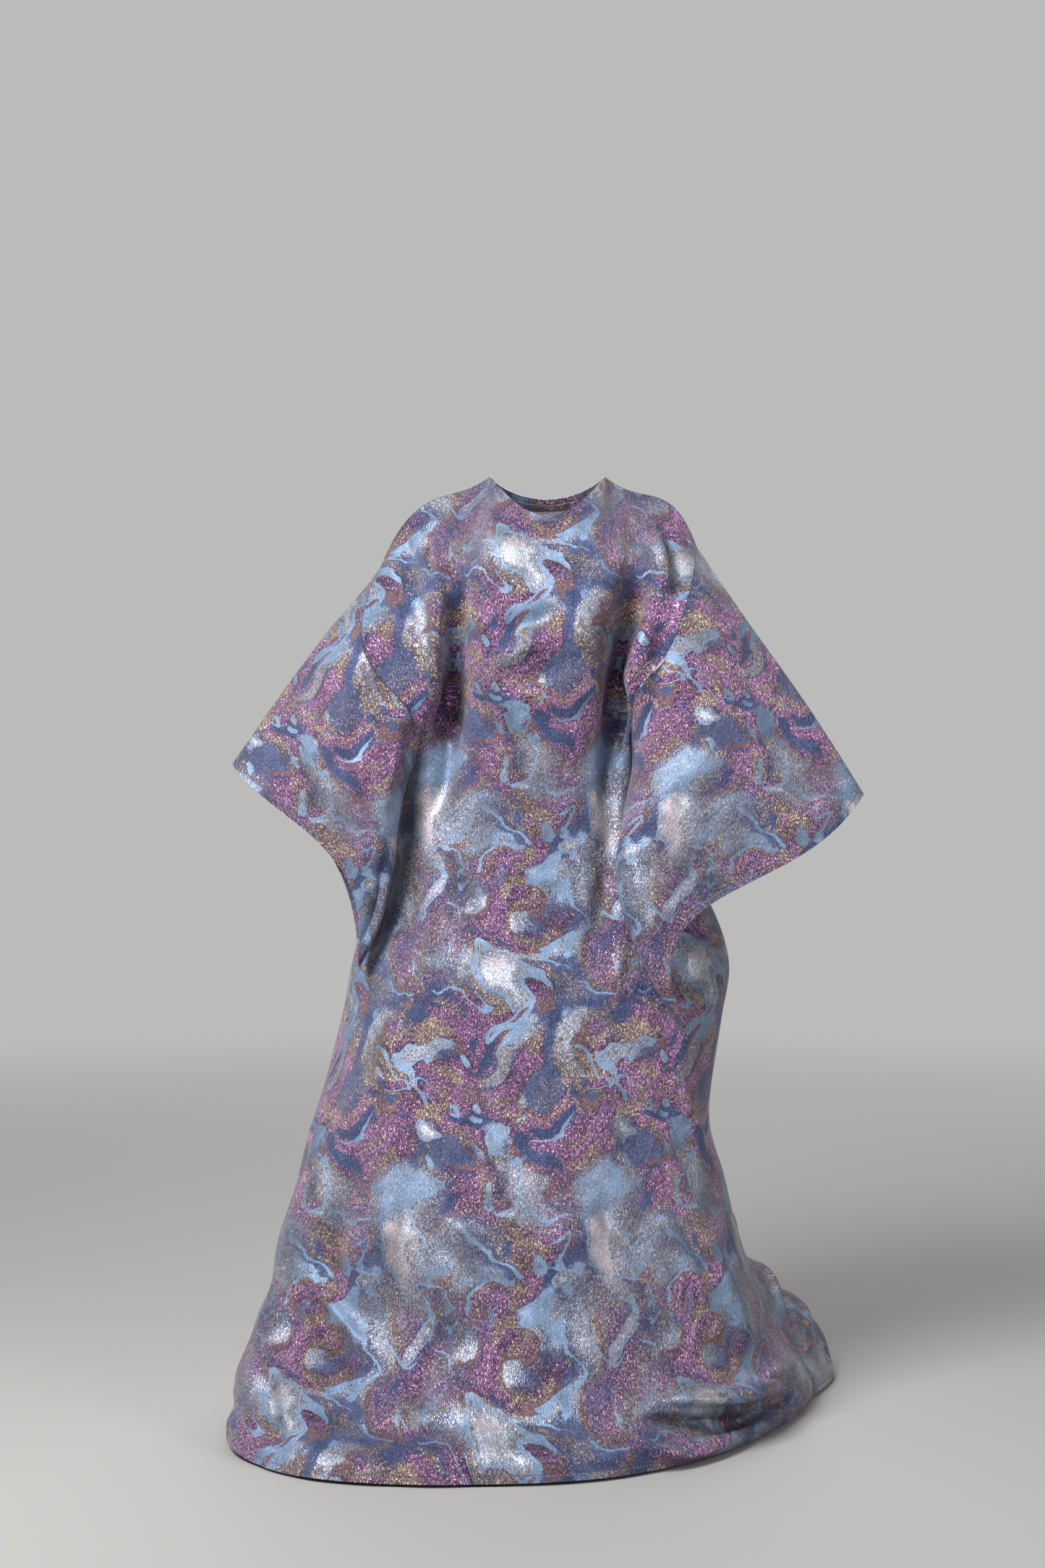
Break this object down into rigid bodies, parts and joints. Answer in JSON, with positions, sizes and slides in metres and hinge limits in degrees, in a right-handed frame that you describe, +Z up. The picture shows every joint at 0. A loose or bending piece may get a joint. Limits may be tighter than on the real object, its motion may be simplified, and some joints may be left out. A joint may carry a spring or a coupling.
{
  "type": "kaftan",
  "caption": "Floor-length brocade kaftan with wide sleeves and a short train, in the hollow form that it has when worn.",
  "frame": {"origin": "between the wearer's shoulders, on the line of the shoulder tops, where the wearer carries the cloth", "axes": "+Z up the wearer, -Y towards the wearer's front, +X towards the sleeve at the viewer's right"},
  "size_m": [0.942, 0.9022, 1.3834],
  "materials": {
    "front_panel": "satin and metallic brocade",
    "back_panel": "satin and metallic brocade",
    "right_sleeve_front": "satin and metallic brocade",
    "right_sleeve_back": "satin and metallic brocade",
    "left_sleeve_front": "satin and metallic brocade",
    "left_sleeve_back": "satin and metallic brocade"
  },
  "bodies": {
    "root": {"front_panel": "front_panel", "back_panel": "back_panel", "right_sleeve_front": "right_sleeve_front", "right_sleeve_back": "right_sleeve_back", "left_sleeve_front": "left_sleeve_front", "left_sleeve_back": "left_sleeve_back"}
  },
  "joints": []
}
